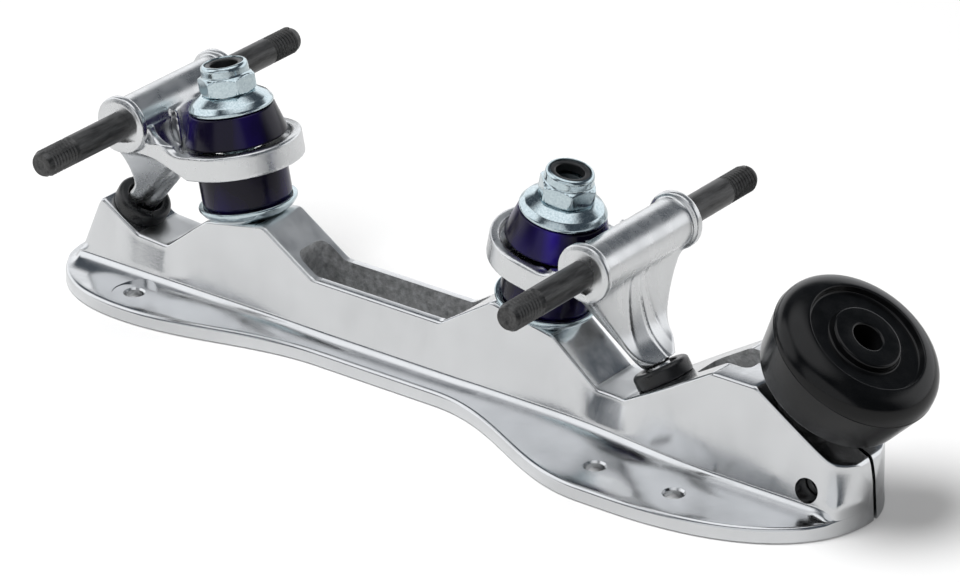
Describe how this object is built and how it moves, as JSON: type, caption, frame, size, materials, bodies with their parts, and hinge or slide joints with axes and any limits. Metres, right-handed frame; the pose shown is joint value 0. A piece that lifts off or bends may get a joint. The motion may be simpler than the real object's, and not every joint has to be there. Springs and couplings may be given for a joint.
{
  "type": "roller skate plate",
  "caption": "Cast roller skate plate with sprung front and rear trucks, bare wheel axles and an adjustable rubber toe stop, bolted under a skate boot.",
  "frame": {"origin": "on the boot face, midway between the two axles", "axes": "+X towards the toe, +Z away from the boot, along the boot face's inward normal"},
  "size_m": [0.2856, 0.1108, 0.0752],
  "materials": {
    "polished_casting": "polished",
    "zinc_steel": "bright zinc",
    "black_steel": "black oxide",
    "urethane": "glossy, dark indigo",
    "black_rubber": "satin",
    "nylon": "matte"
  },
  "bodies": {
    "plate": {"plate": "polished_casting", "clamp_screw": "black_steel", "front_kingpin": "zinc_steel", "rear_kingpin": "zinc_steel", "front_lock_nut": "zinc_steel", "rear_lock_nut": "zinc_steel", "front_nut_insert": "nylon", "rear_nut_insert": "nylon", "front_upper_washer": "zinc_steel", "rear_upper_washer": "zinc_steel", "front_lower_washer": "zinc_steel", "rear_lower_washer": "zinc_steel", "front_upper_cushion": "urethane", "rear_upper_cushion": "urethane", "front_lower_cushion": "urethane", "rear_lower_cushion": "urethane", "front_pivot_cup": "black_rubber", "rear_pivot_cup": "black_rubber"},
    "front_truck": {"front_truck": "polished_casting", "front_axle": "black_steel"},
    "rear_truck": {"rear_truck": "polished_casting", "rear_axle": "black_steel"},
    "toe_stop": {"toe_stop": "black_rubber", "toe_stop_stem": "zinc_steel"}
  },
  "joints": [
    {"name": "front_truck_lean", "type": "hinge", "parent": "plate", "child": "front_truck", "pos_m": [0.09178, 0, 0.02138], "axis": [-0.8029, 0, 0.5961], "range_deg": [-8, 8], "stiffness_Nm_per_rad": 12},
    {"name": "rear_truck_lean", "type": "hinge", "parent": "plate", "child": "rear_truck", "pos_m": [-0.09178, 0, 0.02138], "axis": [0.8029, 0, 0.5961], "range_deg": [-8, 8], "stiffness_Nm_per_rad": 12},
    {"name": "toe_stop_adjust", "type": "slide", "parent": "plate", "child": "toe_stop", "axis": [0.5476, 0, 0.8368], "range_m": [-0.0074, 0.0074]}
  ]
}
